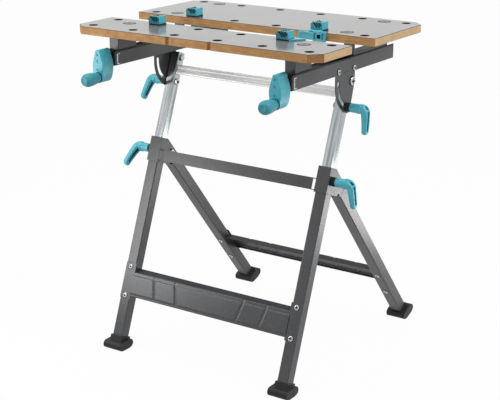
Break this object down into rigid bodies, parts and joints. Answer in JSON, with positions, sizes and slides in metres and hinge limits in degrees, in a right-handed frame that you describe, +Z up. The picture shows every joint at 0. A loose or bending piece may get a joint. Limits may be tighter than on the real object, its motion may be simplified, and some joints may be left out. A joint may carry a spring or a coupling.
{
  "type": "folding workbench",
  "caption": "Folding workbench with a tilting, height-adjustable split worktop that closes as a crank-driven vice, on splayed tube legs with treads, clamp levers and peg dogs.",
  "frame": {"origin": "on the floor, below the middle of the bench's box", "axes": "+X to the right along the plates, +Y to the back, away from the cranks, +Z up"},
  "size_m": [0.65, 0.688, 0.8041],
  "materials": {
    "painted_steel": "anthracite powder coat",
    "plated_steel": "bright plated",
    "zinc_steel": "bright zinc",
    "worktop": "grey laminate on bamboo",
    "teal_plastic": "satin moulded",
    "black_plastic": "matt moulded"
  },
  "bodies": {
    "front_frame": {"front_leg_left": "painted_steel", "front_leg_right": "painted_steel", "collar_left": "painted_steel", "collar_right": "painted_steel", "cross_brace": "painted_steel", "front_tread": "painted_steel", "front_foot_left": "black_plastic", "front_foot_right": "black_plastic", "leg_hinge_bolt_left": "zinc_steel", "leg_hinge_bolt_right": "zinc_steel"},
    "rear_frame": {"rear_leg_left": "painted_steel", "rear_leg_right": "painted_steel", "rear_tread": "painted_steel", "rear_foot_left": "black_plastic", "rear_foot_right": "black_plastic"},
    "lift_frame": {"lift_tube_left": "plated_steel", "lift_tube_right": "plated_steel", "lift_crossbar": "plated_steel", "tilt_pivot_bolt_left": "zinc_steel", "tilt_pivot_bolt_right": "zinc_steel"},
    "table": {"rail_left": "painted_steel", "rail_right": "painted_steel", "rear_riser_left": "painted_steel", "rear_riser_right": "painted_steel", "rear_plate": "worktop", "spindle_bearing_left": "black_plastic", "spindle_bearing_right": "black_plastic", "rail_bolt_front_left": "zinc_steel", "rail_bolt_front_right": "zinc_steel", "rail_bolt_back_left": "zinc_steel", "rail_bolt_back_right": "zinc_steel"},
    "front_jaw": {"front_plate": "worktop", "carriage_left": "painted_steel", "carriage_right": "painted_steel", "spindle_nut_left": "black_plastic", "spindle_nut_right": "black_plastic"},
    "crank_left": {"spindle_left": "zinc_steel", "crank_left": "teal_plastic"},
    "crank_right": {"spindle_right": "zinc_steel", "crank_right": "teal_plastic"},
    "grip_left": {"grip_left": "teal_plastic"},
    "grip_right": {"grip_right": "teal_plastic"},
    "height_lever_left": {"height_stud_left": "zinc_steel", "height_lever_left": "teal_plastic"},
    "height_lever_right": {"height_stud_right": "zinc_steel", "height_lever_right": "teal_plastic"},
    "tilt_lever_left": {"tilt_stud_left": "zinc_steel", "tilt_lever_left": "teal_plastic"},
    "tilt_lever_right": {"tilt_stud_right": "zinc_steel", "tilt_lever_right": "teal_plastic"},
    "dog_front_left": {"dog_front_left": "teal_plastic"},
    "dog_front_right": {"dog_front_right": "teal_plastic", "edge_stop_front": "teal_plastic"},
    "dog_rear_left": {"dog_rear_left": "teal_plastic"},
    "dog_rear_right": {"dog_rear_right": "teal_plastic", "edge_stop_rear": "teal_plastic"}
  },
  "joints": [
    {"name": "rear_fold", "type": "hinge", "parent": "front_frame", "child": "rear_frame", "pos_m": [0, -0.04565, 0.44799], "axis": [-1, 0, 0], "range_deg": [0, 59]},
    {"name": "height_slide", "type": "slide", "parent": "front_frame", "child": "lift_frame", "axis": [0, 0.3518, 0.9361], "range_m": [-0.07, 0.08]},
    {"name": "table_tilt", "type": "hinge", "parent": "lift_frame", "child": "table", "pos_m": [0, 0.00438, 0.6749], "axis": [1, 0, 0], "range_deg": [0, 62]},
    {"name": "jaw_slide", "type": "slide", "parent": "table", "child": "front_jaw", "axis": [0, 1, 0], "range_m": [0, 0.08]},
    {"name": "crank_left_turn", "type": "hinge", "parent": "table", "child": "crank_left", "pos_m": [-0.236, -0.27562, 0.7121], "axis": [0, 1, 0], "range_deg": [0, 7200]},
    {"name": "grip_left_spin", "type": "hinge", "parent": "crank_left", "child": "grip_left", "pos_m": [-0.236, -0.31562, 0.6751], "axis": [0, 1, 0], "continuous": true},
    {"name": "crank_right_turn", "type": "hinge", "parent": "table", "child": "crank_right", "pos_m": [0.236, -0.27562, 0.7121], "axis": [0, 1, 0], "range_deg": [0, 7200]},
    {"name": "grip_right_spin", "type": "hinge", "parent": "crank_right", "child": "grip_right", "pos_m": [0.236, -0.31562, 0.6751], "axis": [0, 1, 0], "continuous": true},
    {"name": "height_lever_left_turn", "type": "hinge", "parent": "front_frame", "child": "height_lever_left", "pos_m": [-0.27, -0.07654, 0.45961], "axis": [1, 0, 0], "range_deg": [-20, 90]},
    {"name": "height_lever_right_turn", "type": "hinge", "parent": "front_frame", "child": "height_lever_right", "pos_m": [0.27, -0.07654, 0.45961], "axis": [1, 0, 0], "range_deg": [-90, 20]},
    {"name": "tilt_lever_left_turn", "type": "hinge", "parent": "lift_frame", "child": "tilt_lever_left", "pos_m": [-0.27, -0.01673, 0.61874], "axis": [1, 0, 0], "range_deg": [-30, 80]},
    {"name": "tilt_lever_right_turn", "type": "hinge", "parent": "lift_frame", "child": "tilt_lever_right", "pos_m": [0.27, -0.01673, 0.61874], "axis": [1, 0, 0], "range_deg": [-80, 30]},
    {"name": "dog_front_left_swivel", "type": "hinge", "parent": "front_jaw", "child": "dog_front_left", "pos_m": [-0.1725, -0.15362, 0.7828], "axis": [0, 0, 1], "continuous": true},
    {"name": "dog_front_right_lift", "type": "slide", "parent": "front_jaw", "child": "dog_front_right", "axis": [0, 0, 1], "range_m": [0, 0.03]},
    {"name": "dog_rear_left_swivel", "type": "hinge", "parent": "table", "child": "dog_rear_left", "pos_m": [-0.1725, -0.00962, 0.7828], "axis": [0, 0, 1], "continuous": true},
    {"name": "dog_rear_right_lift", "type": "slide", "parent": "table", "child": "dog_rear_right", "axis": [0, 0, 1], "range_m": [0, 0.03]}
  ],
  "couplings": [
    {"joint": "crank_left_turn", "follows": "jaw_slide", "rad_per_m": 1570.8},
    {"joint": "crank_right_turn", "follows": "jaw_slide", "rad_per_m": 1570.8}
  ]
}
